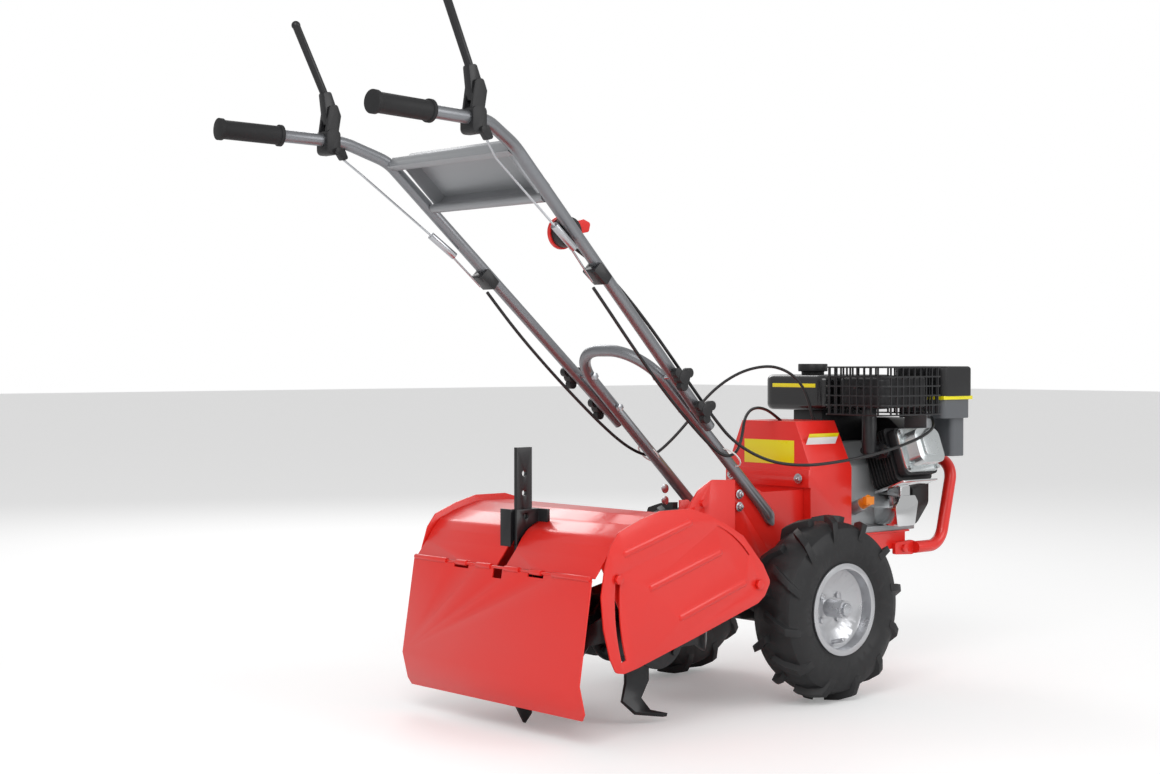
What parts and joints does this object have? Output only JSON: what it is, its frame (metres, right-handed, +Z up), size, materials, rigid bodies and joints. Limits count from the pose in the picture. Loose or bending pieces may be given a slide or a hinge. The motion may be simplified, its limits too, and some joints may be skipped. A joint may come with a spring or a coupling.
{
  "type": "garden tiller",
  "caption": "Walk-behind rear-tine garden tiller with engine in front, lugged wheels, covered tine rotor, rear flap, depth bar and long handlebars with clutch levers.",
  "frame": {"origin": "centre of the bounding box in plan, on the ground", "axes": "+X forward to the engine and bumper, +Y to the machine's left, +Z up"},
  "size_m": [1.5919, 0.53, 1.25],
  "materials": {
    "red_paint": "gloss",
    "tyre": "satin",
    "rim": "satin",
    "steel": "satin",
    "black_casting": "satin",
    "tine_steel": "satin",
    "black_steel": "satin",
    "handle_tube": "satin",
    "tray_sheet": "satin",
    "black_plastic": "matte",
    "red_plastic": "gloss",
    "grip_rubber": "matte",
    "cast_aluminium": "rough cast",
    "black_fins": "rough cast",
    "bright_aluminium": "satin",
    "polished_steel": "polished",
    "tank_black": "gloss",
    "grey_plastic": "matte",
    "orange_plastic": "gloss",
    "cable_black": "satin"
  },
  "bodies": {
    "chassis": {"air_cleaner_base": "grey_plastic", "air_cleaner_lid": "black_plastic", "axle": "steel", "belt_cover": "red_paint", "blower_shroud": "black_plastic", "cable_brackets": "black_steel", "carburettor": "cast_aluminium", "clamp_bolts": "steel", "clamp_knobs": "black_plastic", "clutch_cable_left": "cable_black", "clutch_cable_right": "cable_black", "clutch_lever_left": "black_steel", "clutch_lever_right": "black_steel", "clutch_rods": "steel", "crankcase": "cast_aluminium", "cross_panel": "red_paint", "cylinder_head": "black_fins", "deck": "red_paint", "depth_bracket": "black_steel", "dipstick": "orange_plastic", "engine_frame": "red_paint", "exhaust_pipe": "black_steel", "front_bumper": "red_paint", "fuel_cap": "black_plastic", "fuel_tank": "tank_black", "gearbox": "black_casting", "grip_left": "grip_rubber", "grip_right": "grip_rubber", "handle_leg_left": "handle_tube", "handle_leg_right": "handle_tube", "handle_tray": "tray_sheet", "lever_bracket_left": "black_plastic", "lever_bracket_right": "black_plastic", "lower_handle": "handle_tube", "muffler": "black_steel", "muffler_cage": "black_steel", "polished_shroud": "polished_steel", "recoil_starter": "black_plastic", "rocker_cover": "bright_aluminium", "side_plate_left": "red_paint", "side_plate_right": "red_paint", "tank_bracket": "black_steel", "throttle_body": "black_plastic", "throttle_cable": "cable_black", "throttle_lever": "red_plastic", "tine_case": "black_casting", "tine_hood": "red_paint"},
    "wheel_left": {"tyre_left": "tyre", "rim_left": "rim"},
    "wheel_right": {"tyre_right": "tyre", "rim_right": "rim"},
    "tine_rotor": {"tine_shaft": "steel", "tine_reel_left": "tine_steel", "tine_reel_right": "tine_steel"},
    "flap": {"rear_flap": "red_paint"},
    "bar": {"depth_bar": "black_steel"},
    "shield_left": {"side_shield_left": "red_paint"},
    "shield_right": {"side_shield_right": "red_paint"}
  },
  "joints": [
    {"name": "wheel_left_spin", "type": "hinge", "parent": "chassis", "child": "wheel_left", "pos_m": [0.27818, 0.208, 0.178], "axis": [0, 1, 0], "continuous": true},
    {"name": "wheel_right_spin", "type": "hinge", "parent": "chassis", "child": "wheel_right", "pos_m": [0.27818, -0.208, 0.178], "axis": [0, 1, 0], "continuous": true},
    {"name": "tine_rotor_spin", "type": "hinge", "parent": "chassis", "child": "tine_rotor", "pos_m": [-0.14682, 0, 0.165], "axis": [0, 1, 0], "continuous": true},
    {"name": "rear_flap_hinge", "type": "hinge", "parent": "chassis", "child": "flap", "pos_m": [-0.36382, 0, 0.285], "axis": [0, 1, 0], "range_deg": [0, 75]},
    {"name": "depth_bar_slide", "type": "slide", "parent": "chassis", "child": "bar", "axis": [0, 0, 1], "range_m": [0, 0.14]},
    {"name": "side_shield_left_swing", "type": "hinge", "parent": "chassis", "child": "shield_left", "pos_m": [0.03418, 0.2575, 0.246], "axis": [0, 1, 0], "range_deg": [0, 20]},
    {"name": "side_shield_right_swing", "type": "hinge", "parent": "chassis", "child": "shield_right", "pos_m": [0.03418, -0.2575, 0.246], "axis": [0, 1, 0], "range_deg": [0, 20]}
  ]
}
